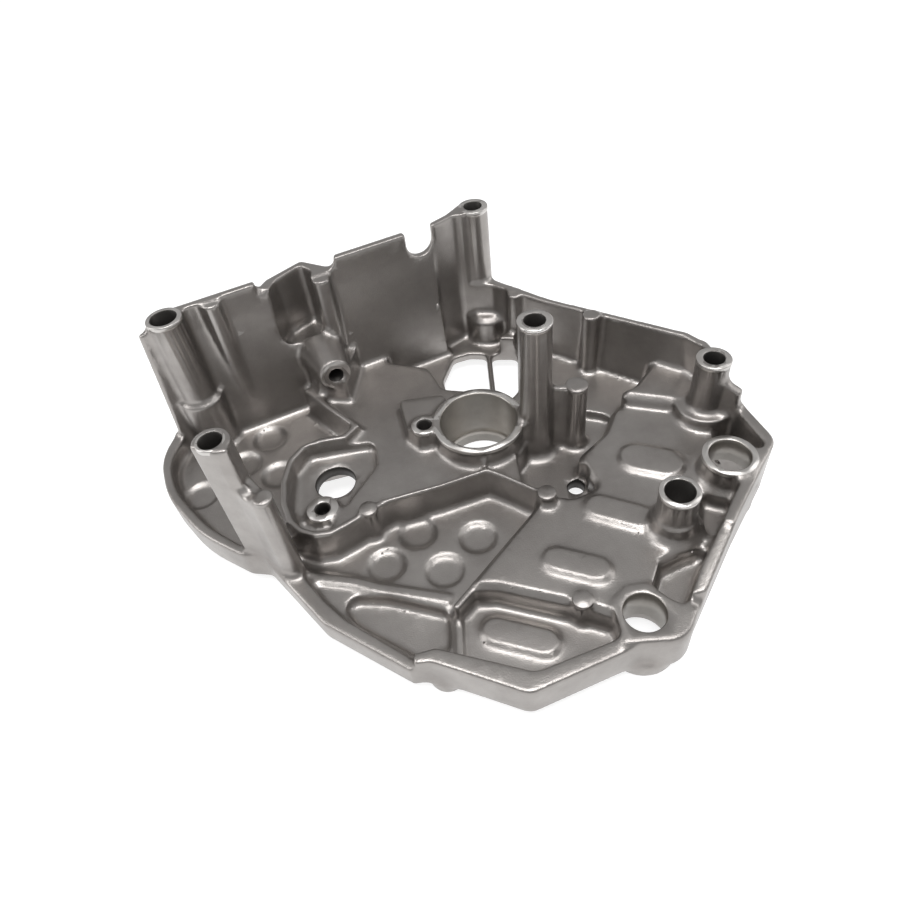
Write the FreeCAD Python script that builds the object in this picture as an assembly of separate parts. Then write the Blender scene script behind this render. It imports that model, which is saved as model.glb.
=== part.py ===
import FreeCAD, Part
import math
import os

# Motorcycle sprocket cover: one die casting, open side up.
# Origin on the axis of the middle bolt boss, in the mounting plane; +Z leaves the engine side.
# All sizes in millimetres; levels are heights above (+) or below (-) the mounting plane.

# Levels
MOUNT_TOP = 0.0
FLOOR = -61.0
SKIN_THICKNESS = 4.0
SKIN = FLOOR - SKIN_THICKNESS
FOOT_RISE = 4.0
FOOT_BOTTOM = SKIN - FOOT_RISE
STRIP_SINK = 3.5
STRIP_FLOOR = FLOOR - STRIP_SINK
BACK_SHELF = FLOOR + 3.5
WIDE_SHELF = FLOOR + 10.0
NARROW_SHELF = WIDE_SHELF + 5.0
POCKET_SHELF = WIDE_SHELF
POCKET_FLOOR = POCKET_SHELF - 3.5
LOOP_TOP = POCKET_SHELF + 4.0
FRONT_LAND = -51.5
SIDE_LAND = -56.0
BULGE_LAND = -53.5
CORNER_LAND = -42.0
TROUGH_FLOOR = FLOOR + 3.5
FOOT_PAD = -50.0
RIGHT_RIM = -33.5
RIGHT_RIM_END = -30.0
RIM_STEP = -4.0
LOW_POST_TOP = -17.0

# Skins, slopes and rounds
PANEL_SKIN = 4.5
PANEL_INSET = 5.0
SHELF_SLOPE = 2.5
SHELF_BEVEL = 2.2
PAD_RISE = 1.5
PAD_SLOPE = 2.8
RIB = 2.4
THIN_RIB = 1.6
DIMPLE_SINK = 1.4
DIMPLE_R = 7.2
RIDGE_THICKNESS = 3.0
RIDGE_RISE = 1.2
MARK_PAD_R = 3.1
MARK_PAD_RISE = 0.6
PILLAR_R = 3.4
BACK_WALL_LEAN = 5.0
RIGHT_WALL_LEAN = 2.5
NOTCH_R = 5.8
NOTCH_DEPTH = 11.2
NOTCH_AT = (-34.3, 71.8)

# Bolt bosses
BOLT_R = 3.5
BOLT_BOSS_R = 6.0
OUTER_BOSS_R = 9.0
FOOT_FLARE = 3.0
BOSS_A = (-9.9, 82.0)
BOSS_A_BASE = (-7.6, 76.3)
BOSS_A_BASE_R = 8.5
BOSS_A_SHOULDER = -48.0
BOSS_B = (-129.2, 33.5)
BOSS_C = (-103.0, -34.5)
BOSS_D = (0.0, 0.0)
BOSS_E = (62.7, -3.5)
BOSS_F = (35.0, -52.9)
BOSS_B_R = 6.5
BOSS_B_FOOT_R = 8.5
BOSS_B_SHOULDER = -38.0
HOLE_B_R = 4.7
BOSS_E_TOP = -25.0
BOSS_F_TOP = -33.0
BOSS_F_R = 6.4
BOSS_F_BASE_R = 7.4
BOSS_F_WAIST = -45.0
HOLE_F_R = 4.6
HOLE_F_DEPTH = 14.0

# Plain bores
BORE_G = (59.8, -33.9)
BORE_G_R = 6.9
BORE_G_BOSS_R = 9.1
BORE_G_DEPTH = 10.0
BORE_G_RELIEF_R = 9.5
BORE_G_POCKET = (57.0, -24.5)
BORE_G_POCKET_R = 6.0
BORE_H = (16.7, -82.6)
BORE_H_R = 6.5
BORE_H_DEPTH = 12.5
BORE_H_FOOT_R = 11.5
BORE_H_RELIEF_R = 8.5
BORE_I = (-21.6, 2.0)
BORE_I_R = 14.2
BORE_I_BOSS_R = 17.0
BORE_I_BASE_R = 18.5
BORE_I_TOP = -43.0
BORE_I_LIP_R = 13.4
BORE_I_LIP = -60.5
HOLE_J = (-78.0, -8.6)
HOLE_J_R = 7.5
HOLE_K = (10.3, -22.7)
HOLE_K_R = 3.1
HOLE_K_BAY_R = 4.4

# Threaded bosses
THREAD_R = 2.4
THREAD_DEPTH = 12.0
BOSS_L = (-81.9, -23.4)
BOSS_L_R = 5.7
BOSS_L_TOP = -51.0
BOSS_M = (-41.9, 3.4)
BOSS_M_R = 4.9
BOSS_M_TOP = -43.0
BOSS_N = (-74.3, 33.0)
BOSS_N_LEVEL = -37.3
BOSS_N_R = 6.5
BOSS_N_ROOT_R = 10.5
BOSS_N_LENGTH = 22.0
BOSS_N_AXIS = (0.326, -0.945)
THREAD_N_R = 2.6

# Small posts
POST_Q = (-91.8, -44.3)
POST_Q_R = 3.0
POST_R = (15.0, 0.0)
POST_R_R = 4.0
POST_R_TOP = -31.0

# Outlines: corners as (x, y, corner radius)
OUTER_RIM = [
    (-142.5, 40.0, 5.0), (-136.0, 36.9, 0.0), (-28.6, 73.8, 8.0), (-21.6, 78.6, 4.0), (-15.0, 86.0, 0.0),
    (-6.0, 80.5, 0.0), (16.8, 55.8, 30.0), (61.8, 19.0, 4.0), (66.5, 11.0, 3.0), (68.5, -7.5, 0.0),
    (73.5, -11.0, 3.0), (77.4, -30.0, 7.0), (55.6, -55.4, 20.0), (32.5, -84.5, 6.0), (26.5, -93.5, 9.0),
    (12.5, -92.3, 3.0), (-21.4, -101.8, 6.0), (-48.7, -87.6, 3.0), (-55.0, -87.6, 0.0), (-73.5, -73.5, 8.0),
    (-82.0, -67.0, 8.0), (-97.5, -46.2, 4.0), (-102.5, -39.5, 0.0), (-110.0, -37.5, 5.0),
    (-127.0, -25.0, 60.0), (-143.0, -3.5, 50.0), (-149.0, 17.0, 28.0),
]
CAVITY = [
    (-138.5, 34.5, 4.0), (-131.0, 35.2, 0.0), (-29.0, 70.0, 6.0), (-18.5, 77.0, 3.0), (-5.0, 73.5, 0.0),
    (16.2, 53.0, 30.0), (60.1, 16.6, 3.0), (64.0, 9.5, 3.0), (65.5, -9.5, 0.0), (70.2, -13.5, 0.0),
    (73.4, -31.0, 5.0), (57.0, -47.5, 10.0), (48.1, -58.6, 10.0), (37.5, -71.0, 4.0), (29.5, -82.5, 4.0), (10.0, -88.0, 3.0),
    (-18.5, -95.0, 6.0), (-46.8, -83.0, 3.0), (-53.2, -84.0, 0.0), (-75.1, -66.0, 8.0),
    (-82.0, -58.0, 8.0), (-91.5, -44.0, 3.0), (-101.0, -36.5, 0.0), (-109.0, -34.0, 4.0),
    (-124.5, -21.5, 55.0), (-139.5, -2.0, 42.0), (-145.0, 15.0, 24.0),
]
WIDE_SHELF_EDGE = [
    (-35.5, -64.5, 2.6), (-9.5, -38.0, 5.0), (-3.0, -30.5, 3.0), (6.0, -34.0, 3.0), (15.5, -31.5, 3.0),
    (11.5, -16.5, 5.0), (24.5, -6.0, 6.0), (31.5, 6.5, 4.0), (57.5, -2.0, 3.0), (64.0, -14.0, 5.0),
    (62.0, -27.0, 4.0), (49.5, -39.0, 5.0), (44.5, -52.0, 5.0), (36.0, -63.0, 5.0), (26.0, -66.5, 4.0),
    (19.5, -77.0, 4.0), (8.3, -90.5, 3.0), (7.6, -81.5, 3.0), (-0.5, -77.0, 6.0), (-25.5, -66.0, 6.0),
]
NARROW_SHELF_EDGE = [
    (30.5, 8.2, 2.6), (41.0, 12.0, 5.0), (55.5, 27.5, 3.0), (68.0, 14.0, 3.0), (70.0, -10.0, 3.0),
    (56.5, -2.5, 4.0),
]
BACK_SHELF_EDGE = [
    (5.5, 64.0, 0.0), (20.0, 54.0, 0.0), (58.0, 22.0, 0.0), (36.0, 2.0, 0.0), (28.5, 9.5, 0.0),
    (22.5, 12.5, 0.0), (14.0, 12.0, 0.0), (5.0, 32.0, 4.0),
]
POCKET_SHELF_EDGE = [
    (-89.5, 43.0, 0.0), (-56.0, 54.0, 0.0), (-38.0, 46.0, 6.0), (-33.0, 31.0, 4.0), (-12.0, 24.0, 4.0),
    (-6.5, 16.0, 3.0), (-9.6, -3.0, 4.0), (-9.8, -27.5, 1.5), (-21.0, -20.5, 3.0),
    (-57.0, -27.0, 4.0), (-66.0, -31.5, 3.0), (-79.0, -37.8, 7.0), (-93.0, -33.0, 8.0), (-95.8, -12.0, 10.0),
    (-90.5, 5.5, 8.0), (-73.0, 8.0, 3.0), (-68.3, 12.5, 3.0), (-83.5, 32.5, 0.0),
]
POCKET_WALL_PATH = [
    (-89.6, 39.0), (-68.6, 13.0), (-73.2, 7.9), (-82.8, 7.6), (-89.4, 5.2), (-93.9, -0.8), (-95.7, -10.6),
    (-95.0, -21.6), (-92.4, -29.8), (-88.6, -34.6), (-83.3, -37.3), (-78.1, -37.4), (-72.9, -34.9),
    (-64.8, -30.5), (-58.7, -26.9),
]
THIN_WALL_PATH = [(-59.5, -27.2), (-39.0, -23.8), (-21.6, -19.6), (-17.2, -22.8), (-3.0, -34.8)]
LOOP_FLOOR_EDGE = [
    (-93.4, -21.0, 3.0), (-93.2, -3.0, 5.0), (-88.0, 5.6, 3.0), (-62.0, 6.6, 4.0), (-61.5, -6.0, 4.0),
    (-71.0, -19.5, 4.0), (-75.5, -28.0, 4.0), (-79.0, -34.8, 5.0), (-90.0, -32.0, 6.0),
]
BORE_M_SHELF_EDGE = [
    (-50.8, 21.5, 2.0), (-33.0, 21.0, 2.0), (-30.0, 2.0, 2.0), (-44.0, -2.0, 3.0), (-48.5, 4.0, 3.0),
]
WINDOW_EDGE = [
    (-26.0, 62.0, 3.0), (-18.5, 63.6, 0.0), (-6.6, 60.3, 0.0), (2.7, 58.1, 3.0), (-1.3, 34.0, 3.0),
    (-9.0, 26.0, 4.0), (-20.0, 26.0, 4.0), (-31.0, 33.0, 6.0), (-32.0, 48.0, 8.0),
]
WINDOW_RIB_PATH = [(-9.9, 62.5), (-13.2, 18.0)]
FOOT_PAD_EDGE = [
    (8.2, -77.6, 4.0), (14.0, -73.2, 4.0), (21.0, -73.2, 4.0), (25.5, -79.0, 3.0), (32.0, -84.5, 0.0),
    (26.0, -93.0, 9.0), (12.5, -91.8, 3.0), (8.2, -91.0, 0.0),
]
TROUGH_EDGE = [
    (66.0, -36.0, 3.0), (54.0, -36.5, 4.0), (40.0, -62.0, 4.0), (27.0, -64.0, 0.0), (21.5, -72.0, 0.0),
    (29.5, -84.0, 0.0), (37.5, -71.0, 0.0), (58.5, -45.5, 0.0),
]
LEFT_STRIP_EDGE = [
    (-80.0, -53.5, 4.0), (-61.0, -57.7, 6.0), (-41.5, -66.0, 4.0), (-42.5, -80.5, 3.0), (-53.0, -80.5, 0.0),
    (-72.5, -65.5, 6.0),
]
RIDGE_PATH = [(-88.0, -45.0), (-72.6, -50.0), (-64.0, -54.2), (-41.1, -62.2)]
STRIP_RIB_PATH = [(-38.7, -68.5), (-40.2, -86.5)]
DIMPLES = [
    (-107.6, 27.6), (-117.0, 14.5), (-102.5, 6.0), (-49.4, -32.9), (-28.4, -38.5), (-61.2, -44.6),
    (-41.4, -50.2), (-132.5, 1.0),
]
# Oblong pads: the two end centres and the end radius at the foot
SHELF_PADS = [
    (32.4, -22.0, 41.1, -26.3, 8.5), (13.6, -41.2, 24.9, -47.7, 7.0), (-4.8, -59.6, 6.6, -65.3, 6.7),
]
STRIP_PAD = (-27.5, -75.9, -13.5, -82.1, 6.9)
SHELF_PAD = (-0.1, -75.0)
LOOP_PADS = [(-64.8, -30.1), (-3.0, -34.7)]
WALL_PILLARS = [(-113.5, 40.5, -1.0), (-73.5, 52.9, -5.0), (3.6, 65.4, -33.2), (29.6, 38.0, -29.8)]
OUTER_FEET = [(-44.5, -84.0, 6.0)]


def vec(x, y, z=0.0):
    """Return a vector at the given coordinates."""
    return FreeCAD.Vector(x, y, z)


def rounded_outline(corners, level):
    """Return the closed wire through the corners with each one rounded to its own radius."""
    arcs = []
    starts = []
    ends = []
    count = len(corners)
    for index in range(count):
        x, y, radius = corners[index]
        here = vec(x, y, level)
        before = vec(corners[index - 1][0], corners[index - 1][1], level)
        after = vec(corners[(index + 1) % count][0], corners[(index + 1) % count][1], level)
        to_before = (before - here).normalize()
        to_after = (after - here).normalize()
        half = to_before.getAngle(to_after) / 2.0
        if radius <= 0.0 or half > math.radians(89.0):
            starts.append(here)
            ends.append(here)
            arcs.append(None)
            continue
        reach = radius / math.tan(half)
        bisector = (to_before + to_after).normalize()
        centre = here + bisector * (radius / math.sin(half))
        starts.append(here + to_before * reach)
        ends.append(here + to_after * reach)
        arcs.append(Part.Arc(starts[-1], centre - bisector * radius, ends[-1]).toShape())
    edges = []
    for index in range(count):
        if arcs[index] is not None:
            edges.append(arcs[index])
        edges.append(Part.makeLine(ends[index], starts[(index + 1) % count]))
    return Part.Wire(edges)


def slab(corners, bottom, top):
    """Return the prism of an outline between two levels."""
    return Part.Face(rounded_outline(corners, bottom)).extrude(vec(0, 0, top - bottom))


def tapered_slab(corners, bottom, top, slope):
    """Return the block whose top outline spreads by a slope on its way down."""
    upper = rounded_outline(corners, top)
    lower = upper.makeOffset2D(slope, 0, False, False)
    lower.translate(vec(0, 0, bottom - top))
    return Part.makeLoft([lower, upper], True, True)


def bevelled_top(solid, top, size):
    """Return the solid with the edges of its top face bevelled."""
    edges = []
    for edge in solid.Edges:
        if min(vertex.Z for vertex in edge.Vertexes) > top - 0.01:
            edges.append(edge)
    return solid.makeChamfer(size, edges)


def post(centre, radius, bottom, top):
    """Return an upright cylinder."""
    return Part.makeCylinder(radius, top - bottom, vec(centre[0], centre[1], bottom))


def flared_post(centre, radius, bottom, top, flare):
    """Return an upright cylinder whose foot spreads on a short cone."""
    foot = Part.makeCone(radius + flare, radius, flare, vec(centre[0], centre[1], bottom))
    return foot.fuse(post(centre, radius, bottom + flare, top))


def side_points(path, offset):
    """Return the path moved sideways by an offset, mitred at its corners."""
    points = []
    last = len(path) - 1
    for index, (x, y) in enumerate(path):
        ahead = vec(path[min(index + 1, last)][0] - x, path[min(index + 1, last)][1] - y)
        behind = vec(x - path[max(index - 1, 0)][0], y - path[max(index - 1, 0)][1])
        if index == last:
            ahead = vec(behind.x, behind.y)
        if index == 0:
            behind = vec(ahead.x, ahead.y)
        ahead.normalize()
        behind.normalize()
        tangent = (ahead + behind).normalize()
        reach = offset / tangent.dot(ahead)
        points.append(vec(x - tangent.y * reach, y + tangent.x * reach))
    return points


def rib(path, thickness, bottom, top):
    """Return an upright rib of even thickness centred on a path."""
    left = side_points(path, thickness / 2.0)
    right = side_points(path, -thickness / 2.0)
    base = Part.Face(Part.makePolygon(left + right[::-1] + [left[0]]))
    base.translate(vec(0, 0, bottom))
    return base.extrude(vec(0, 0, top - bottom))


def bar_along(start, end, profile):
    """Return the bar along a line in plan whose section is (offset to the left, level) points."""
    along = vec(end[0] - start[0], end[1] - start[1])
    across = vec(-along.y, along.x).normalize()
    points = []
    for offset, level in profile:
        points.append(vec(start[0], start[1], level) + across * offset)
    points.append(points[0])
    return Part.Face(Part.makePolygon(points)).extrude(along)


def block_above(start, end, half_width, headroom):
    """Return the block that stands on the sloping line between two points, to cut a rim down to it."""
    along = vec(end[0] - start[0], end[1] - start[1])
    across = vec(-along.y, along.x).normalize()
    low = vec(start[0], start[1], start[2]) - across * half_width
    high = vec(end[0], end[1], end[2]) - across * half_width
    ceiling = max(start[2], end[2]) + headroom
    face = Part.Face(Part.makePolygon([
        low, high, vec(high.x, high.y, ceiling), vec(low.x, low.y, ceiling), low]))
    return face.extrude(across * (2.0 * half_width))


def box(x0, x1, y0, y1, z0, z1):
    """Return an axis-aligned box."""
    return Part.makeBox(x1 - x0, y1 - y0, z1 - z0, vec(x0, y0, z0))


def perimeter_wall():
    """Return the wall round the casting, cut down to its rim all the way round."""
    wall = slab(OUTER_RIM, SKIN, MOUNT_TOP).cut(slab(CAVITY, SKIN - 1.0, MOUNT_TOP + 1.0))
    over = MOUNT_TOP + 2.0
    cuts = [
        block_above((-9.0, 83.0, RIGHT_RIM), (66.0, 14.0, RIGHT_RIM_END), 12.0, 40.0),
        block_above((63.0, 17.0, RIGHT_RIM_END), (67.0, -7.0, RIGHT_RIM_END + 1.5), 8.0, 40.0),
        block_above((61.0, -6.0, RIGHT_RIM_END), (79.0, -24.0, CORNER_LAND), 16.0, 50.0),
        block_above((86.0, -16.0, CORNER_LAND), (48.0, -62.5, CORNER_LAND - 1.0), 14.0, 50.0),
        block_above((50.0, -60.0, CORNER_LAND - 2.0), (28.0, -88.5, FOOT_PAD), 12.0, 60.0),
        box(-53.5, 45.0, -110.0, -80.0, FRONT_LAND, over),
        box(-101.5, -53.5, -100.0, -40.0, SIDE_LAND, over),
        box(-160.0, -101.5, -60.0, 29.0, BULGE_LAND, over),
        box(-160.0, -135.5, 20.0, 50.0, BULGE_LAND, over),
        box(-95.5, -67.5, 40.0, 75.0, RIM_STEP, over),
        box(-97.5, -93.5, 44.0, 56.0, RIM_STEP - 4.0, over),
    ]
    return wall.cut(cuts)


def leaning_linings():
    """Return the wedges that lean the inside of the back and right walls towards the floor."""
    back = bar_along((-131.0, 35.2), (-29.0, 70.0), [
        (0.4, MOUNT_TOP - 6.0), (0.4, SKIN), (-BACK_WALL_LEAN, SKIN), (-BACK_WALL_LEAN, FLOOR)])
    right = bar_along((16.2, 53.0), (60.1, 16.6), [
        (0.4, -32.0), (0.4, SKIN), (-RIGHT_WALL_LEAN, SKIN), (-RIGHT_WALL_LEAN, BACK_SHELF)])
    return [back, right]


def back_wall_channel():
    """Return the triangular housing that stands out from the back wall."""
    return slab([(-99.0, 48.5, 0.5), (-95.0, 56.0, 0.5), (-81.7, 66.5, 1.5), (-70.0, 59.0, 0.5)], -34.0, RIM_STEP)


def channel_hollow():
    """Return the space inside the back wall channel."""
    return slab([(-94.5, 46.0, 0.5), (-91.5, 54.3, 0.5), (-81.7, 63.0, 1.0), (-77.0, 58.0, 0.5),
                 (-77.5, 50.0, 0.5)], -30.0, MOUNT_TOP + 1.0)


def rim_notch():
    """Return the round-bottomed notch through the back rim beside the rear boss."""
    tool = box(-NOTCH_R, NOTCH_R, -8.0, 8.0, 0.0, NOTCH_DEPTH).fuse(
        Part.makeCylinder(NOTCH_R, 16.0, vec(0, -8.0, 0), vec(0, 1, 0)))
    tool.rotate(vec(0, 0, 0), vec(0, 0, 1), 19.0)
    tool.translate(vec(NOTCH_AT[0], NOTCH_AT[1], NOTCH_R - NOTCH_DEPTH))
    return tool


def floors():
    """Return the floor and every shelf that steps up from it."""
    shelf_m = BOSS_M_TOP - 2.0
    return [
        slab(OUTER_RIM, SKIN, FLOOR),
        bevelled_top(slab(WIDE_SHELF_EDGE, SKIN, WIDE_SHELF), WIDE_SHELF, SHELF_BEVEL),
        bevelled_top(slab(NARROW_SHELF_EDGE, SKIN, NARROW_SHELF), NARROW_SHELF, SHELF_BEVEL),
        slab(BACK_SHELF_EDGE, SKIN, BACK_SHELF),
        slab(POCKET_SHELF_EDGE, SKIN, POCKET_SHELF),
        slab(FOOT_PAD_EDGE, SKIN, FOOT_PAD),
        slab(TROUGH_EDGE, SKIN, TROUGH_FLOOR),
        tapered_slab(BORE_M_SHELF_EDGE, SKIN, shelf_m, SHELF_SLOPE),
    ]


def oblong_pad(ends, level):
    """Return a low oblong pad that narrows towards its top."""
    x0, y0, x1, y1, radius = ends
    turn = math.degrees(math.atan2(y1 - y0, x1 - x0))
    length = math.hypot(x1 - x0, y1 - y0)
    sections = []
    for r, z in ((radius, -1.0), (radius - PAD_SLOPE, PAD_RISE)):
        sections.append(Part.Wire([
            Part.makeLine(vec(0, -r, z), vec(length, -r, z)),
            Part.Arc(vec(length, -r, z), vec(length + r, 0, z), vec(length, r, z)).toShape(),
            Part.makeLine(vec(length, r, z), vec(0, r, z)),
            Part.Arc(vec(0, r, z), vec(-r, 0, z), vec(0, -r, z)).toShape(),
        ]))
    pad = Part.makeLoft(sections, True, True)
    pad.rotate(vec(0, 0, 0), vec(0, 0, 1), turn)
    pad.translate(vec(x0, y0, level))
    return pad


def raised_pads():
    """Return the oblong pads of the wide shelf and of the front strip."""
    pads = []
    for ends in SHELF_PADS:
        pads.append(oblong_pad(ends, WIDE_SHELF))
    pads.append(oblong_pad(STRIP_PAD, FLOOR))
    return pads


def ribs():
    """Return the upright ribs inside the cover."""
    return [
        rib(POCKET_WALL_PATH, RIB, SKIN, LOOP_TOP),
        rib(THIN_WALL_PATH, THIN_RIB, SKIN, LOOP_TOP),
        rib(STRIP_RIB_PATH, THIN_RIB, SKIN, FLOOR + 2.0),
        rib([(-32.0, -62.5), (-39.5, -70.0)], RIB, SKIN, WIDE_SHELF - 2.0),
        rib([(24.5, -66.0), (19.0, -75.5)], RIB + 1.0, SKIN, WIDE_SHELF),
        rib([BOSS_D, POST_R], RIB, SKIN, POST_R_TOP),
        rib(RIDGE_PATH, RIDGE_THICKNESS, SKIN, FLOOR + RIDGE_RISE),
    ]


def low_side_wall():
    """Return the wall between the left front boss and the low post."""
    return slab([
        (-109.0, -36.0, 0.0), (-100.7, -40.3, 0.0), (-94.4, -47.0, 2.0), (-88.9, -44.0, 2.0), (-97.0, -34.0, 0.0),
        (-107.0, -30.5, 0.0)], SKIN, LOW_POST_TOP - 1.0)


def left_front_boss():
    """Return the left front boss with the two flats on its outer side."""
    flats = slab([
        (-112.0, -34.5, 0.0), (-100.7, -40.3, 0.0), (-92.5, -49.0, 0.0), (-112.0, -50.0, 0.0)],
        SKIN - 1.0, MOUNT_TOP + 1.0)
    return post(BOSS_C, BOLT_BOSS_R, SKIN, MOUNT_TOP).cut(flats)


def left_web():
    """Return the leaning web from the left rear boss down to the bulge."""
    top = Part.makePolygon([
        vec(-139.2, 29.7, -3.0), vec(-137.4, 28.2, -3.0), vec(-128.0, 33.0, -3.0), vec(-131.0, 38.0, -3.0),
        vec(-139.2, 29.7, -3.0)])
    foot = Part.makePolygon([
        vec(-144.4, 30.2, FLOOR), vec(-142.4, 28.2, FLOOR), vec(-128.0, 33.0, FLOOR), vec(-131.0, 38.0, FLOOR),
        vec(-144.4, 30.2, FLOOR)])
    return Part.makeLoft([foot, top], True, True)


def side_boss():
    """Return the buttress on the back wall that carries the sideways threaded boss."""
    x, y = BOSS_N
    inward = vec(-BOSS_N_AXIS[0], -BOSS_N_AXIS[1])
    block = slab([
        (-82.8, 35.0, 0.0), (-71.2, 31.8, 0.0), (-66.5, 54.0, 0.0), (-88.0, 46.5, 0.0)],
        SKIN, BOSS_N_LEVEL - BOSS_N_R / 2.0)
    cone = Part.makeCone(BOSS_N_R, BOSS_N_ROOT_R, BOSS_N_LENGTH, vec(x, y, BOSS_N_LEVEL), inward)
    return [block, cone]


def rear_boss_base():
    """Return the wider half-round column under the rear boss, with its sloping shoulder."""
    column = post(BOSS_A_BASE, BOSS_A_BASE_R, SKIN, BOSS_A_SHOULDER - 2.0)
    shoulder = Part.makeCone(
        BOSS_A_BASE_R, BOLT_BOSS_R, 2.0, vec(BOSS_A_BASE[0], BOSS_A_BASE[1], BOSS_A_SHOULDER - 2.0))
    bump = post((-1.5, 59.5), PILLAR_R, SKIN, BOSS_A_SHOULDER - 4.0)
    return [column.fuse(shoulder), bump]


def wall_pillars():
    """Return the half-round pillars down the inside of the walls."""
    pillars = []
    for x, y, top in WALL_PILLARS:
        pillars.append(post((x, y), PILLAR_R, SKIN, top))
    return pillars


def panels():
    """Return the recesses under the shelves that keep the skin even."""
    tools = []
    for corners, level in (
            (WIDE_SHELF_EDGE, WIDE_SHELF), (NARROW_SHELF_EDGE, NARROW_SHELF), (POCKET_SHELF_EDGE, POCKET_FLOOR)):
        outline = rounded_outline(corners, SKIN - 1.0).makeOffset2D(-PANEL_INSET, 0, False, False)
        tools.append(Part.Face(outline).extrude(vec(0, 0, level - PANEL_SKIN - SKIN + 1.0)))
    return tools


def bosses():
    """Return every boss and post as plain solids."""
    return [
        post(BOSS_A, BOLT_BOSS_R, SKIN, MOUNT_TOP),
        post(BOSS_B, BOSS_B_R, SKIN, MOUNT_TOP),
        post(BOSS_B, BOSS_B_FOOT_R, SKIN, BOSS_B_SHOULDER),
        left_front_boss(),
        flared_post(BOSS_D, BOLT_BOSS_R - 0.1, FLOOR - 0.5, MOUNT_TOP, FOOT_FLARE),
        flared_post(BOSS_E, BOLT_BOSS_R, WIDE_SHELF - 0.5, BOSS_E_TOP, FOOT_FLARE),
        flared_post(BOSS_E, OUTER_BOSS_R + 1.5, SKIN, NARROW_SHELF - 0.5, 1.0),
        post(BOSS_F, BOSS_F_R, SKIN, BOSS_F_TOP),
        flared_post(BOSS_F, BOSS_F_BASE_R, WIDE_SHELF - 0.5, BOSS_F_WAIST, FOOT_FLARE),
        post(BOSS_F, BOSS_F_BASE_R + FOOT_FLARE, SKIN, WIDE_SHELF - 0.5),
        flared_post(BORE_G, BORE_G_BOSS_R, WIDE_SHELF - 1.0, CORNER_LAND, 2.5),
        post(BORE_G, BORE_G_BOSS_R + 2.0, SKIN, WIDE_SHELF - 1.5),
        post(BORE_I, BORE_I_BOSS_R, SKIN, BORE_I_TOP),
        post(BORE_I, BORE_I_BASE_R, SKIN, POCKET_SHELF - 1.5),
        post(BOSS_M, BOSS_M_R, SKIN, BOSS_M_TOP),
        post(POST_Q, POST_Q_R, SKIN, LOW_POST_TOP),
        post(POST_R, POST_R_R, SKIN, POST_R_TOP),
        post(SHELF_PAD, MARK_PAD_R, FLOOR, WIDE_SHELF + MARK_PAD_RISE),
        post(LOOP_PADS[0], MARK_PAD_R, FLOOR, LOOP_TOP + MARK_PAD_RISE),
        post(LOOP_PADS[1], MARK_PAD_R, FLOOR, LOOP_TOP + MARK_PAD_RISE),
    ]


def outer_bosses():
    """Return the bosses and feet that stand out of the outer face."""
    feet = []
    for centre in (BOSS_A, BOSS_B, BOSS_D, BOSS_E, BOSS_F):
        feet.append(post(centre, OUTER_BOSS_R, FOOT_BOTTOM, SKIN + 1.0))
    feet.append(post(BORE_H, BORE_H_FOOT_R, FOOT_BOTTOM, SKIN + 1.0))
    for x, y, radius in OUTER_FEET:
        feet.append(post((x, y), radius, FOOT_BOTTOM, SKIN + 1.0))
    return feet


def bolt_holes():
    """Return the bolt holes, with the wider dowel bore of the front boss."""
    tools = [post(BOSS_B, HOLE_B_R, FOOT_BOTTOM - 1.0, 1.0)]
    for centre in (BOSS_A, BOSS_C, BOSS_D, BOSS_E, BOSS_F):
        tools.append(post(centre, BOLT_R, FOOT_BOTTOM - 1.0, 1.0))
    tools.append(post(BOSS_F, HOLE_F_R, BOSS_F_TOP - HOLE_F_DEPTH, 1.0))
    return tools


def plain_holes():
    """Return the plain bores and their reliefs."""
    return [
        post(BORE_G, BORE_G_R, SKIN - 1.0, 1.0),
        post(BORE_G, BORE_G_RELIEF_R, SKIN - 1.0, CORNER_LAND - BORE_G_DEPTH),
        post(BORE_G_POCKET, BORE_G_POCKET_R, SKIN - 1.0, WIDE_SHELF - PANEL_SKIN),
        post(BORE_H, BORE_H_R, FOOT_BOTTOM - 1.0, 1.0),
        post(BORE_H, BORE_H_RELIEF_R, FOOT_BOTTOM - 1.0, FOOT_PAD - BORE_H_DEPTH),
        post(BORE_I, BORE_I_R, BORE_I_LIP, 1.0),
        post(BORE_I, BORE_I_LIP_R, FOOT_BOTTOM - 1.0, 1.0),
        post(HOLE_J, HOLE_J_R, SKIN - 1.0, 1.0),
        post(HOLE_K, HOLE_K_R, SKIN - 1.0, 1.0),
        post(BOSS_L, THREAD_R, SKIN - 1.0, 1.0),
        post(BOSS_M, THREAD_R, BOSS_M_TOP - THREAD_DEPTH, 1.0),
        Part.makeCylinder(THREAD_N_R, THREAD_DEPTH, vec(BOSS_N[0], BOSS_N[1], BOSS_N_LEVEL),
                          vec(-BOSS_N_AXIS[0], -BOSS_N_AXIS[1])),
    ]


def dimples():
    """Return the shallow round dimples pressed into the floor."""
    tools = []
    for x, y in DIMPLES:
        tools.append(Part.makeCone(DIMPLE_R - DIMPLE_SINK, DIMPLE_R, DIMPLE_SINK, vec(x, y, FLOOR - DIMPLE_SINK)))
    return tools


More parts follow.
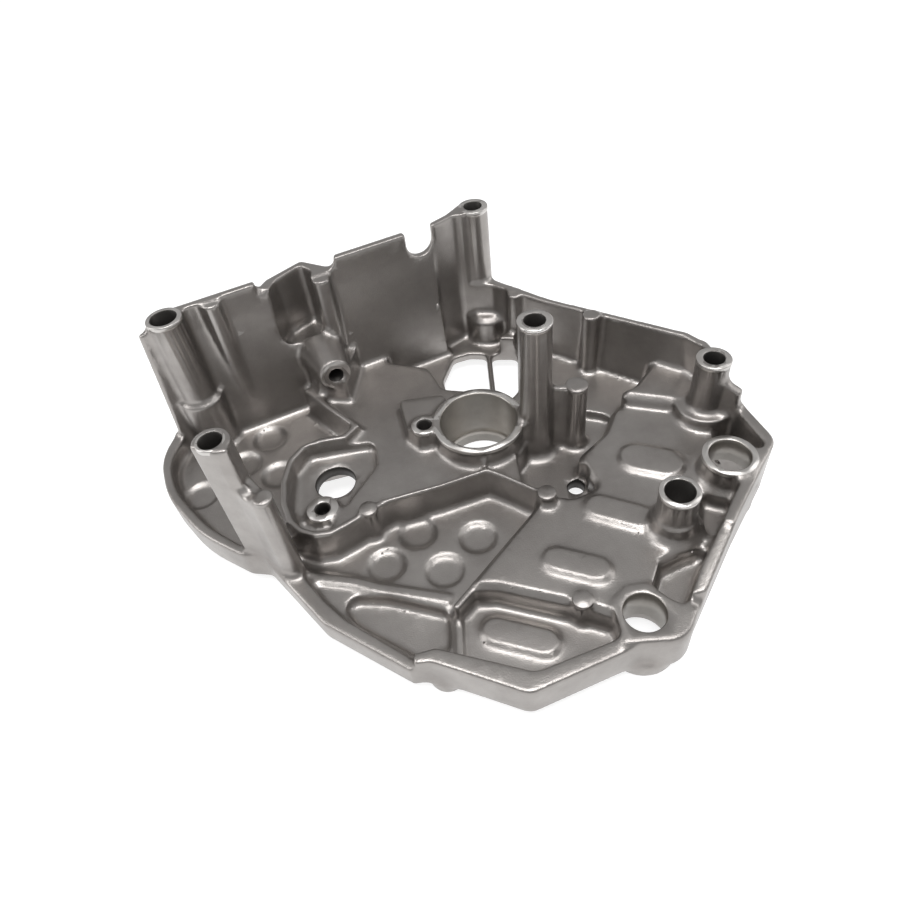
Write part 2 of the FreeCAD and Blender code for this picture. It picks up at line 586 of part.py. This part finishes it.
def build_cover():
    """Return the whole casting."""
    shell = perimeter_wall().fuse(floors() + leaning_linings() + [back_wall_channel(), left_web()])
    shell = shell.cut(panels())
    shell = shell.fuse(ribs() + raised_pads() + wall_pillars() + side_boss() + rear_boss_base() + [low_side_wall()])
    shell = shell.cut([
        channel_hollow(),
        rim_notch(),
        slab(LOOP_FLOOR_EDGE, POCKET_FLOOR, LOOP_TOP + 3.0),
        slab(WINDOW_EDGE, SKIN - 1.0, FLOOR + 16.0),
        post(HOLE_K, HOLE_K_BAY_R, FLOOR, WIDE_SHELF + 1.0),
        slab(LEFT_STRIP_EDGE, STRIP_FLOOR, FLOOR + 1.0),
    ])
    shell = shell.fuse(bosses() + outer_bosses() + [
        slab(LEFT_STRIP_EDGE, FOOT_BOTTOM, STRIP_FLOOR),
        post(BOSS_L, BOSS_L_R, SKIN, BOSS_L_TOP),
        rib(WINDOW_RIB_PATH, RIB, SKIN, FLOOR)])
    return shell.cut(bolt_holes() + plain_holes() + dimples()).removeSplitter()


os.makedirs("parts", exist_ok=True)
build_cover().exportStep("parts/sprocket_cover.step")
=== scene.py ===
import logging
import math
from dataclasses import dataclass
from enum import Enum

import bmesh
import bpy
from mathutils import Matrix, Vector


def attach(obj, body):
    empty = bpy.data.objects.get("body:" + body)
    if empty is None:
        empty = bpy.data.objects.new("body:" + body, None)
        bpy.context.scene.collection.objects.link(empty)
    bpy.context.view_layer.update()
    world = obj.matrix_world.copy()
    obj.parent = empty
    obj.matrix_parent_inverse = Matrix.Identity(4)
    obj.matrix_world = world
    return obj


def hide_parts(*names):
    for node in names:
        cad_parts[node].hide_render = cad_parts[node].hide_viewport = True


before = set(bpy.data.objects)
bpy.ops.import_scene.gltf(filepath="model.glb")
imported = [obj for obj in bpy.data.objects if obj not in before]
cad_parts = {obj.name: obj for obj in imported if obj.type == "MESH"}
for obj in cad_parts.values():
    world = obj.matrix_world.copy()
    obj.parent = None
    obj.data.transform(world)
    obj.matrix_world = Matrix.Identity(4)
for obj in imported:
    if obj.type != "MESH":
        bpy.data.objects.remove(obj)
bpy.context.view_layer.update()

LOG = logging.getLogger("cover")
MM = 0.001
WELD_DISTANCE = 1e-6


def triangles(piece: bpy.types.Object) -> int:
    """Count the triangles of a piece."""
    return sum(len(face.vertices) - 2 for face in piece.data.polygons)


class Finish(Enum):
    """The finishes found on the casting."""

    CAST = "cast_skin"
    MACHINED = "machined_face"
    BORE = "bored_wall"
    # The drilled finish is coloured near black: painted shade for the insides of the holes, not the
    # metal's own colour.
    DRILLED_PAINTED_SHADE = "drilled_wall_painted_shade"


@dataclass(frozen=True)
class MetalLook:
    """The numbers that set one metal finish apart from another; the grain depth is in metres."""

    base: tuple[float, float, float]
    shade: tuple[float, float, float]
    roughness: float
    metallic: float
    grain_scale: float
    grain_depth: float


LOOKS: dict[Finish, MetalLook] = {
    Finish.CAST: MetalLook((0.37, 0.35, 0.335), (0.29, 0.272, 0.26), 0.33, 0.95, 2400.0, 0.00012),
    Finish.MACHINED: MetalLook((0.62, 0.60, 0.58), (0.50, 0.48, 0.46), 0.30, 0.95, 900.0, 0.00003),
    Finish.BORE: MetalLook((0.36, 0.34, 0.315), (0.28, 0.262, 0.24), 0.36, 0.95, 900.0, 0.00004),
    # Near-black tones of the drilled walls: painted shade inside the holes, darker than the drilled metal
    # really is.
    Finish.DRILLED_PAINTED_SHADE: MetalLook((0.07, 0.066, 0.062), (0.045, 0.042, 0.040), 0.50, 0.9, 900.0, 0.00004),
}


@dataclass(frozen=True)
class Hole:
    """A hole with a clean wall, in millimetres; its axis leaves the metal at the mouth.

    A face radius above zero gives it a machined ring, a step radius above zero a narrower lower
    part that ends at the step depth, and the run-out is how far the drill goes past its end.
    """

    name: str
    mouth: tuple[float, float, float]
    radius: float
    depth: float
    face_radius: float = 0.0
    chamfer: float = 0.3
    axis: tuple[float, float, float] = (0.0, 0.0, 1.0)
    # By default the wall takes the drilled finish, whose near-black colour is painted shade.
    wall: Finish = Finish.DRILLED_PAINTED_SHADE
    step_radius: float = 0.0
    step_depth: float = 0.0
    run_out: float = 0.1


@dataclass(frozen=True)
class Land:
    """A small round land that stands crisp from the rounded skin, in millimetres."""

    name: str
    mouth: tuple[float, float, float]
    face_radius: float
    axis: tuple[float, float, float] = (0.0, 0.0, 1.0)


@dataclass(frozen=True)
class SoftBox:
    """A rectangular studio lamp, in metres and watts."""

    name: str
    place: tuple[float, float, float]
    aim: tuple[float, float, float]
    size: tuple[float, float]
    power: float


@dataclass(frozen=True)
class MetalShop:
    """Makes the node materials of the casting."""

    patch_scale: float = 45.0
    patch_detail: float = 5.0
    patch_roughness: float = 0.62
    tone_range: tuple[float, float] = (0.35, 0.62)
    sheen_range: tuple[float, float] = (0.3, 0.7)
    sheen_swing: float = 0.05
    grain_detail: float = 3.0
    grain_strength: float = 0.6

    def make(self, finish: Finish) -> bpy.types.Material:
        """Build the material of one finish.

        Args:
            finish: Which finish to build.

        Returns:
            The finished material.
        """
        look = LOOKS[finish]
        material = bpy.data.materials.new(finish.value)
        material.use_nodes = True
        tree = material.node_tree
        tree.nodes.clear()
        output = tree.nodes.new("ShaderNodeOutputMaterial")
        shader = tree.nodes.new("ShaderNodeBsdfPrincipled")
        shader.inputs["Metallic"].default_value = look.metallic
        tree.links.new(shader.outputs["BSDF"], output.inputs["Surface"])
        place = tree.nodes.new("ShaderNodeTexCoord")
        self._colour(tree, place, shader, look)
        self._grain(tree, place, shader, look)
        return material

    def _colour(self, tree: bpy.types.NodeTree, place: bpy.types.Node, shader: bpy.types.Node,
                look: MetalLook) -> None:
        """Mix the two tones of the skin in soft patches and vary its roughness with them.

        Args:
            tree: The material's node tree.
            place: The texture coordinates.
            shader: The shader that takes the tones.
            look: The numbers of the finish.
        """
        patches = tree.nodes.new("ShaderNodeTexNoise")
        patches.inputs["Scale"].default_value = self.patch_scale
        patches.inputs["Detail"].default_value = self.patch_detail
        patches.inputs["Roughness"].default_value = self.patch_roughness
        tree.links.new(place.outputs["Object"], patches.inputs["Vector"])
        mix = tree.nodes.new("ShaderNodeMix")
        mix.data_type = "RGBA"
        mix.inputs["A"].default_value = (*look.shade, 1.0)
        mix.inputs["B"].default_value = (*look.base, 1.0)
        spread = tree.nodes.new("ShaderNodeMapRange")
        spread.inputs["From Min"].default_value = self.tone_range[0]
        spread.inputs["From Max"].default_value = self.tone_range[1]
        tree.links.new(patches.outputs["Fac"], spread.inputs["Value"])
        tree.links.new(spread.outputs["Result"], mix.inputs["Factor"])
        tree.links.new(mix.outputs["Result"], shader.inputs["Base Color"])
        rough = tree.nodes.new("ShaderNodeMapRange")
        rough.inputs["From Min"].default_value = self.sheen_range[0]
        rough.inputs["From Max"].default_value = self.sheen_range[1]
        rough.inputs["To Min"].default_value = look.roughness + self.sheen_swing
        rough.inputs["To Max"].default_value = look.roughness - self.sheen_swing
        tree.links.new(patches.outputs["Fac"], rough.inputs["Value"])
        tree.links.new(rough.outputs["Result"], shader.inputs["Roughness"])

    def _grain(self, tree: bpy.types.NodeTree, place: bpy.types.Node, shader: bpy.types.Node,
               look: MetalLook) -> None:
        """Raise the fine grain of the skin as a bump.

        Args:
            tree: The material's node tree.
            place: The texture coordinates.
            shader: The shader that takes the grain.
            look: The numbers of the finish.
        """
        fine = tree.nodes.new("ShaderNodeTexNoise")
        fine.inputs["Scale"].default_value = look.grain_scale
        fine.inputs["Detail"].default_value = self.grain_detail
        tree.links.new(place.outputs["Object"], fine.inputs["Vector"])
        bump = tree.nodes.new("ShaderNodeBump")
        bump.inputs["Strength"].default_value = self.grain_strength
        bump.inputs["Distance"].default_value = look.grain_depth
        tree.links.new(fine.outputs["Fac"], bump.inputs["Height"])
        tree.links.new(bump.outputs["Normal"], shader.inputs["Normal"])


@dataclass(frozen=True)
class Casting:
    """The one-piece aluminium casting, rounded and faced as the real one is, in millimetres.

    The plugs that close the holes while the skin is rounded are wider than the holes by the
    plug margin, so the drills that open them afterwards leave no rounded lip.
    """

    voxel: float = 0.5
    hollow_round: float = 2.2
    edge_round: float = 0.4
    thinning: float = 0.02
    spare_band: int = 2
    most_triangles: int = 185000
    plug_margin: float = 0.25
    plug_overlap: float = 0.2
    face_stand: float = 0.12
    face_depth: float = 2.2
    face_foot: float = 0.6
    face_bevel: float = 0.2
    drill_rise: float = 0.6
    holes: tuple[Hole, ...] = (
        Hole("rear", (-9.9, 82.0, 0.0), 3.5, 69.0, 6.0),
        Hole("left_rear", (-129.2, 33.5, 0.0), 4.7, 69.0, 6.5),
        Hole("left_front", (-103.0, -34.5, 0.0), 3.5, 65.0, 4.6),
        Hole("middle", (0.0, 0.0, 0.0), 3.5, 69.0, 5.9),
        Hole("right", (62.7, -3.5, -25.0), 3.5, 44.0, 6.0),
        Hole("front", (35.0, -52.9, -33.0), 4.6, 14.0, 6.4, step_radius=3.5, step_depth=36.0),
        Hole("corner", (59.8, -33.9, -42.0), 6.9, 10.0, 9.1, wall=Finish.BORE, run_out=1.5),
        Hole("foot", (16.7, -82.6, -50.0), 6.5, 12.5, wall=Finish.BORE, run_out=1.5),
        Hole("main", (-21.6, 2.0, -43.0), 14.2, 17.5, 17.0, 0.5, wall=Finish.BORE,
             step_radius=13.4, step_depth=26.0),
        Hole("loop", (-78.0, -8.6, -54.5), 7.5, 4.5, run_out=1.5),
        Hole("drain", (10.3, -22.7, -61.0), 3.1, 4.0, run_out=1.5),
        Hole("loop_thread", (-81.9, -23.4, -51.0), 2.4, 14.0, 5.7, 0.6),
        Hole("shelf_thread", (-41.9, 3.4, -43.0), 2.4, 12.0, 4.9, 0.6),
        Hole("side_thread", (-74.3, 33.0, -37.3), 2.6, 12.0, 6.0, 0.5, (0.326, -0.945, 0.0)),
    )
    lands: tuple[Land, ...] = (
        Land("low_post", (-91.8, -44.3, -17.0), 3.0),
        Land("rib_post", (15.0, 0.0, -31.0), 4.0),
        Land("loop_mark", (-64.8, -30.1, -46.4), 3.1),
        Land("wall_mark", (-3.0, -34.7, -46.4), 3.1),
        Land("shelf_mark", (-0.1, -75.0, -50.4), 3.1),
    )

    def rounded(self, node: bpy.types.Object, skin: bpy.types.Material) -> bpy.types.Object:
        """Round the hollows and edges of the solid model.

        Args:
            node: The solid model's object.
            skin: The material of the rounded skin.

        Returns:
            A new object with the rounded skin.
        """
        raw = node.data.copy()
        work = bpy.data.objects.new("cover_casting", raw)
        bpy.context.scene.collection.objects.link(work)
        body = bmesh.new()
        body.from_mesh(raw)
        bmesh.ops.remove_doubles(body, verts=body.verts, dist=WELD_DISTANCE)
        for hole in self.holes:
            wide = hole.radius + self.plug_margin
            self._turned(body, hole, Finish.CAST, [(wide, -hole.depth), (wide, 0.0)])
            if hole.step_radius > 0.0:
                narrow = hole.step_radius + self.plug_margin
                self._turned(body, hole, Finish.CAST, [
                    (narrow, -hole.step_depth), (narrow, self.plug_overlap - hole.depth)])
        body.to_mesh(raw)
        body.free()
        step = work.modifiers.new("rounds", "NODES")
        step.node_group = self._rounding_tree(skin)
        sizes = {"Voxel": self.voxel, "Hollow Round": self.hollow_round, "Edge Round": self.edge_round,
                 "Thinning": self.thinning}
        for socket in step.node_group.interface.items_tree:
            if socket.name in sizes:
                scale = 1.0 if socket.name == "Thinning" else MM
                step[socket.identifier] = sizes[socket.name] * scale
        graph = bpy.context.evaluated_depsgraph_get()
        plain = bpy.data.meshes.new_from_object(work.evaluated_get(graph))
        work.modifiers.clear()
        work.data = plain
        bpy.data.meshes.remove(raw)
        return work

    def _rounding_tree(self, skin: bpy.types.Material) -> bpy.types.NodeTree:
        """Build the tree that fills hollows to one radius and rounds edges to another.

        Args:
            skin: The material of the rounded skin.

        Returns:
            The node tree, with its sizes as named inputs.
        """
        tree = bpy.data.node_groups.new("CastingRounds", "GeometryNodeTree")
        tree.interface.new_socket("Geometry", in_out="INPUT", socket_type="NodeSocketGeometry")
        for name in ("Voxel", "Hollow Round", "Edge Round", "Thinning"):
            tree.interface.new_socket(name, in_out="INPUT", socket_type="NodeSocketFloat")
        tree.interface.new_socket("Geometry", in_out="OUTPUT", socket_type="NodeSocketGeometry")
        entry = tree.nodes.new("NodeGroupInput")
        leave = tree.nodes.new("NodeGroupOutput")
        both = tree.nodes.new("ShaderNodeMath")
        both.operation = "ADD"
        tree.links.new(entry.outputs["Hollow Round"], both.inputs[0])
        tree.links.new(entry.outputs["Edge Round"], both.inputs[1])
        inwards = tree.nodes.new("ShaderNodeMath")
        inwards.operation = "MULTIPLY"
        inwards.inputs[1].default_value = -1.0
        tree.links.new(both.outputs[0], inwards.inputs[0])
        band = math.ceil((self.hollow_round + self.edge_round) / self.voxel) + self.spare_band
        current = entry.outputs["Geometry"]
        for offset in (entry.outputs["Hollow Round"], inwards.outputs[0], entry.outputs["Edge Round"]):
            grid = tree.nodes.new("GeometryNodeMeshToSDFGrid")
            grid.inputs["Band Width"].default_value = band
            tree.links.new(entry.outputs["Voxel"], grid.inputs["Voxel Size"])
            tree.links.new(current, grid.inputs["Mesh"])
            mesh = tree.nodes.new("GeometryNodeGridToMesh")
            tree.links.new(grid.outputs[0], mesh.inputs["Grid"])
            tree.links.new(offset, mesh.inputs["Threshold"])
            current = mesh.outputs[0]
        tree.links.new(entry.outputs["Thinning"], mesh.inputs["Adaptivity"])
        plain = tree.nodes.new("GeometryNodeRealizeInstances")
        coat = tree.nodes.new("GeometryNodeSetMaterial")
        coat.inputs["Material"].default_value = skin
        tree.links.new(current, plain.inputs["Geometry"])
        tree.links.new(plain.outputs["Geometry"], coat.inputs["Geometry"])
        tree.links.new(coat.outputs["Geometry"], leave.inputs["Geometry"])
        return tree

    def build(self, node: bpy.types.Object, shop: MetalShop) -> bpy.types.Object:
        """Make the finished casting.

        Args:
            node: The solid model's object.
            shop: The maker of its materials.

        Returns:
            The casting that replaces the solid model.
        """
        materials = [shop.make(finish) for finish in Finish]
        casting = self.rounded(node, materials[0])
        LOG.info("rounded skin: %d faces", len(casting.data.polygons))
        casting.data.materials.clear()
        for material in materials:
            casting.data.materials.append(material)
        self._face_and_bore(casting)
        self._thin(casting)
        casting.data.shade_smooth()
        return casting

    def _face_and_bore(self, casting: bpy.types.Object) -> None:
        """Give the boss tops crisp faces and the holes clean walls, the drilled walls in a near-black
        painted shade.

        Args:
            casting: The rounded casting, which is changed.
        """
        discs = bmesh.new()
        for face in self.holes + self.lands:
            if face.face_radius > 0.0:
                edge = face.face_radius + self.face_stand
                finish = Finish.CAST if isinstance(face, Land) else Finish.MACHINED
                self._turned(discs, face, finish, [
                    (edge - self.face_foot, -self.face_depth), (edge, self.face_foot - self.face_depth),
                    (edge, -self.face_bevel), (edge - self.face_bevel, 0.0)])
        drills = bmesh.new()
        for hole in self.holes:
            wide = hole.radius + hole.chamfer
            lower = [(hole.radius, -hole.depth - hole.run_out)]
            if hole.step_radius > 0.0:
                lower = [(hole.step_radius, -hole.step_depth - hole.run_out),
                         (hole.step_radius, -hole.depth), (hole.radius, -hole.depth)]
            self._turned(drills, hole, hole.wall, lower + [
                (hole.radius, -hole.chamfer), (wide, 0.0), (wide, self.drill_rise)])
        self._combine(casting, self._tool("ring_faces", discs, casting), "UNION")
        self._combine(casting, self._tool("hole_walls", drills, casting), "DIFFERENCE")

    def _turned(self, solid: bmesh.types.BMesh, hole: Hole | Land, finish: Finish,
                profile: list[tuple[float, float]], sides: int = 96) -> None:
        """Turn a profile about a hole's axis and add it as one closed shell.

        Args:
            solid: The mesh that gains the shell.
            hole: The hole or land whose mouth and axis place the profile.
            finish: The finish that the shell's faces take.
            profile: The (radius, height above the mouth) points from bottom to top, in millimetres.
            sides: How many flats go round.
        """
        turn = Vector((0.0, 0.0, 1.0)).rotation_difference(Vector(hole.axis))
        mouth = Vector(hole.mouth)
        rows = []
        for radius, height in profile:
            row = []
            for side in range(sides):
                angle = math.tau * side / sides
                point = turn @ Vector((radius * math.cos(angle), radius * math.sin(angle), height))
                row.append(solid.verts.new((mouth + point) * MM))
            rows.append(row)
        shell = [solid.faces.new(rows[0][::-1]), solid.faces.new(rows[-1])]
        for low, high in zip(rows, rows[1:]):
            for side in range(sides):
                after = (side + 1) % sides
                shell.append(solid.faces.new((low[side], low[after], high[after], high[side])))
        for face in shell:
            face.material_index = list(Finish).index(finish)

    def _tool(self, name: str, solid: bmesh.types.BMesh, casting: bpy.types.Object) -> bpy.types.Object:
        """Turn closed shells into one cutting object.

        Args:
            name: The object's name.
            solid: The closed shells.
            casting: The casting whose materials they share.

        Returns:
            The cutting object.
        """
        mesh = bpy.data.meshes.new(name)
        solid.to_mesh(mesh)
        solid.free()
        for material in casting.data.materials:
            mesh.materials.append(material)
        tool = bpy.data.objects.new(name, mesh)
        bpy.context.scene.collection.objects.link(tool)
        return tool

    def _combine(self, casting: bpy.types.Object, tool: bpy.types.Object, operation: str) -> None:
        """Add or cut a tool and drop it afterwards.

        Args:
            casting: The casting, which is changed.
            tool: The closed shells to add or cut.
            operation: UNION or DIFFERENCE.
        """
        step = casting.modifiers.new(operation.lower(), "BOOLEAN")
        step.operation = operation
        step.solver = "MANIFOLD"
        step.object = tool
        graph = bpy.context.evaluated_depsgraph_get()
        result = bpy.data.meshes.new_from_object(casting.evaluated_get(graph))
        casting.modifiers.clear()
        casting.data = result
        bpy.data.objects.remove(tool)
        LOG.info("%s: %d faces", operation, len(result.polygons))

    def _thin(self, casting: bpy.types.Object) -> None:
        """Collapse the skin to the triangle limit.

        Args:
            casting: The casting, which is changed where it has more.
        """
        count = triangles(casting)
        if count <= self.most_triangles:
            return
        step = casting.modifiers.new("thin", "DECIMATE")
        step.ratio = self.most_triangles / count
        graph = bpy.context.evaluated_depsgraph_get()
        result = bpy.data.meshes.new_from_object(casting.evaluated_get(graph))
        casting.modifiers.clear()
        casting.data = result
        LOG.info("thinned: %d faces", len(result.polygons))


@dataclass(frozen=True)
class Studio:
    """The pale floor, the lamps and the camera, in metres; the lens and its sensor are in millimetres."""

    floor_level: float = -0.069
    floor_half: float = 3.0
    paper_tone: float = 0.8
    shadow_share: float = 0.4
    room_level: float = 0.5
    lens: float = 27.67
    sensor: float = 36.0
    near_clip: float = 0.01
    eye: tuple[float, float, float] = (-0.0337, -0.1838, 0.138)
    right: tuple[float, float, float] = (0.9892, -0.1064, -0.1011)
    up: tuple[float, float, float] = (0.1468, 0.7168, 0.6817)
    lamps: tuple[SoftBox, ...] = (
        SoftBox("lamp_over", (-0.02, -0.20, 1.1), (-0.03, 0.0, -0.04), (1.0, 0.5), 9.0),
        SoftBox("lamp_left", (-1.0, 0.0, 0.55), (-0.03, 0.0, -0.04), (0.4, 0.8), 3.0),
        SoftBox("lamp_right", (1.0, 0.1, 0.55), (-0.03, 0.0, -0.04), (0.4, 0.8), 2.0),
    )

    def floor(self) -> None:
        """Lay the pale floor."""
        mesh = bpy.data.meshes.new("floor")
        half = self.floor_half
        mesh.from_pydata([(-half, -half, self.floor_level), (half, -half, self.floor_level),
                          (half, half, self.floor_level), (-half, half, self.floor_level)],
                         [], [(0, 1, 2, 3)])
        floor = bpy.data.objects.new("floor", mesh)
        bpy.context.scene.collection.objects.link(floor)
        material = bpy.data.materials.new("floor_paper")
        material.use_nodes = True
        tree = material.node_tree
        tree.nodes.clear()
        output = tree.nodes.new("ShaderNodeOutputMaterial")
        paper = tree.nodes.new("ShaderNodeBsdfDiffuse")
        paper.inputs["Color"].default_value = self._grey(self.paper_tone)
        shaded = tree.nodes.new("ShaderNodeBsdfDiffuse")
        shaded.inputs["Color"].default_value = self._grey(self.shadow_share)
        glow = tree.nodes.new("ShaderNodeEmission")
        glow.inputs["Strength"].default_value = 1.0 - self.shadow_share / 2.0
        white = tree.nodes.new("ShaderNodeAddShader")
        mix = tree.nodes.new("ShaderNodeMixShader")
        tree.links.new(shaded.outputs["BSDF"], white.inputs[0])
        tree.links.new(glow.outputs["Emission"], white.inputs[1])
        tree.links.new(self._seen(tree), mix.inputs["Fac"])
        tree.links.new(paper.outputs["BSDF"], mix.inputs[1])
        tree.links.new(white.outputs["Shader"], mix.inputs[2])
        tree.links.new(mix.outputs["Shader"], output.inputs["Surface"])
        mesh.materials.append(material)

    def _grey(self, level: float) -> tuple[float, float, float, float]:
        """Return a plain grey of one level."""
        return (level, level, level, 1.0)

    def _seen(self, tree: bpy.types.NodeTree) -> bpy.types.NodeSocket:
        """Tell the rays that show the background apart from those that only light the object.

        Args:
            tree: The node tree that asks.

        Returns:
            The socket that is 1 for camera, glossy and transmission rays.
        """
        path = tree.nodes.new("ShaderNodeLightPath")
        current = path.outputs["Is Camera Ray"]
        for name in ("Is Glossy Ray", "Is Transmission Ray"):
            either = tree.nodes.new("ShaderNodeMath")
            either.operation = "MAXIMUM"
            tree.links.new(current, either.inputs[0])
            tree.links.new(path.outputs[name], either.inputs[1])
            current = either.outputs[0]
        return current

    def world(self) -> None:
        """Set the even light of the room."""
        world = bpy.data.worlds.new("room")
        bpy.context.scene.world = world
        world.use_nodes = True
        tree = world.node_tree
        tree.nodes.clear()
        output = tree.nodes.new("ShaderNodeOutputWorld")
        room = tree.nodes.new("ShaderNodeBackground")
        room.inputs["Color"].default_value = self._grey(1.0)
        room.inputs["Strength"].default_value = self.room_level
        tree.links.new(room.outputs["Background"], output.inputs["Surface"])

    def light(self) -> None:
        """Hang the lamps."""
        for box in self.lamps:
            lamp = bpy.data.lights.new(box.name, "AREA")
            lamp.shape = "RECTANGLE"
            lamp.size = box.size[0]
            lamp.size_y = box.size[1]
            lamp.energy = box.power
            holder = bpy.data.objects.new(box.name, lamp)
            place = Vector(box.place)
            turn = (Vector(box.aim) - place).to_track_quat("-Z", "Y")
            holder.matrix_world = Matrix.Translation(place) @ turn.to_matrix().to_4x4()
            bpy.context.scene.collection.objects.link(holder)

    def camera(self) -> None:
        """Stand the camera where the photographer stood."""
        lens = bpy.data.cameras.new("camera")
        lens.lens = self.lens
        lens.sensor_width = self.sensor
        lens.clip_start = self.near_clip
        holder = bpy.data.objects.new("camera", lens)
        right = Vector(self.right).normalized()
        up = Vector(self.up)
        back = right.cross(up).normalized()
        up = back.cross(right)
        turn = Matrix((right, up, back)).transposed().to_4x4()
        holder.matrix_world = Matrix.Translation(self.eye) @ turn
        bpy.context.scene.collection.objects.link(holder)
        bpy.context.scene.camera = holder

    def build(self) -> None:
        """Set up the whole studio."""
        bpy.context.scene.view_settings.view_transform = "Standard"
        self.floor()
        self.world()
        self.light()
        self.camera()


def main() -> None:
    """Build the studio and the casting, and report each piece."""
    logging.basicConfig(level=logging.INFO, format="%(message)s")
    Studio().build()
    casting = Casting().build(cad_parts["sprocket_cover"], MetalShop())
    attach(casting, "root")
    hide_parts("sprocket_cover")
    LOG.info("%s: %d triangles", casting.name, triangles(casting))


if __name__ == "__main__":
    main()
